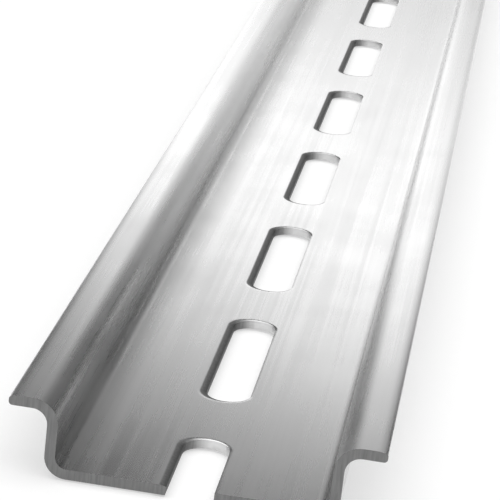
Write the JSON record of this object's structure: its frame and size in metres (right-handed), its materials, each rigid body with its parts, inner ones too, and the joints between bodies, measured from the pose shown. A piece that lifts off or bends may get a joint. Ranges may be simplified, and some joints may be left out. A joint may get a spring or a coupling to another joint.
{
  "type": "din rail",
  "caption": "Slotted top-hat mounting rail: a long strip of zinc-plated steel bent to a shallow channel with two flanges that devices clip on to.",
  "frame": {"origin": "middle of the back of the base, halfway along the rail", "axes": "+X across the rail, +Y along it, away from the end that is cut through the middle of a slot, +Z out of the channel"},
  "size_m": [0.035, 1, 0.0075],
  "materials": {
    "zinc_steel": "bright zinc plate on rolled steel, satin, with a fine grain along the length"
  },
  "bodies": {
    "root": {"rail": "zinc_steel"}
  },
  "joints": []
}
